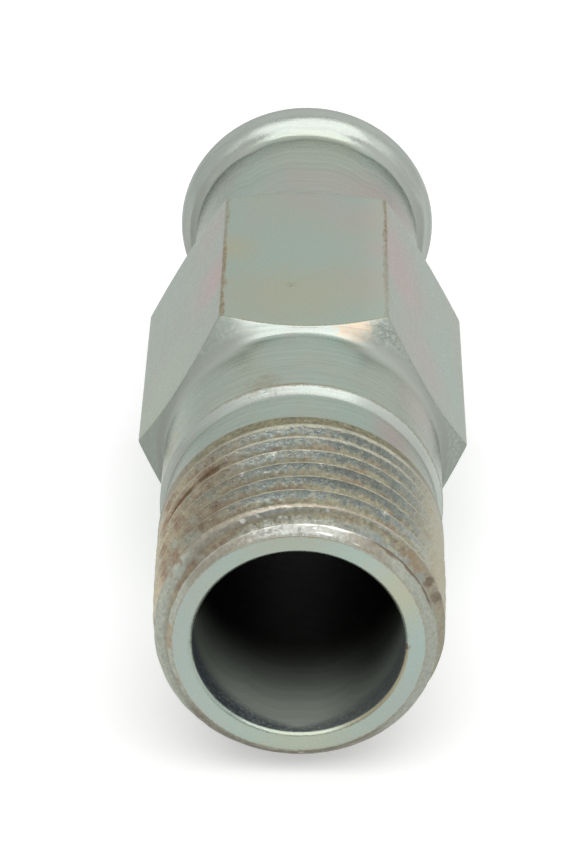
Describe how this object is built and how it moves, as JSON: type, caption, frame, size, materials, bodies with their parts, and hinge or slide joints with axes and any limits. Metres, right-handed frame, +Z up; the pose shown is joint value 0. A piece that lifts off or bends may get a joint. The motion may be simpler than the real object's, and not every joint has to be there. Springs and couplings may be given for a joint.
{
  "type": "heater hose fitting",
  "caption": "Straight steel fitting with a tapered external pipe thread, a turned shank, a wrench hexagon and a beaded neck for a heater hose, bored right through.",
  "frame": {"origin": "centre of the bore on the threaded end face", "axes": "+Y along the bore from the threaded end to the hose end, +Z up and square to the hexagon's upper flat, +X across two corners of the hexagon"},
  "size_m": [0.0256, 0.0698, 0.0222],
  "materials": {
    "zinc_plated_steel": "clear iridescent zinc plating over turned steel, with light rust on the thread"
  },
  "bodies": {
    "root": {"fitting_body": "zinc_plated_steel"}
  },
  "joints": []
}
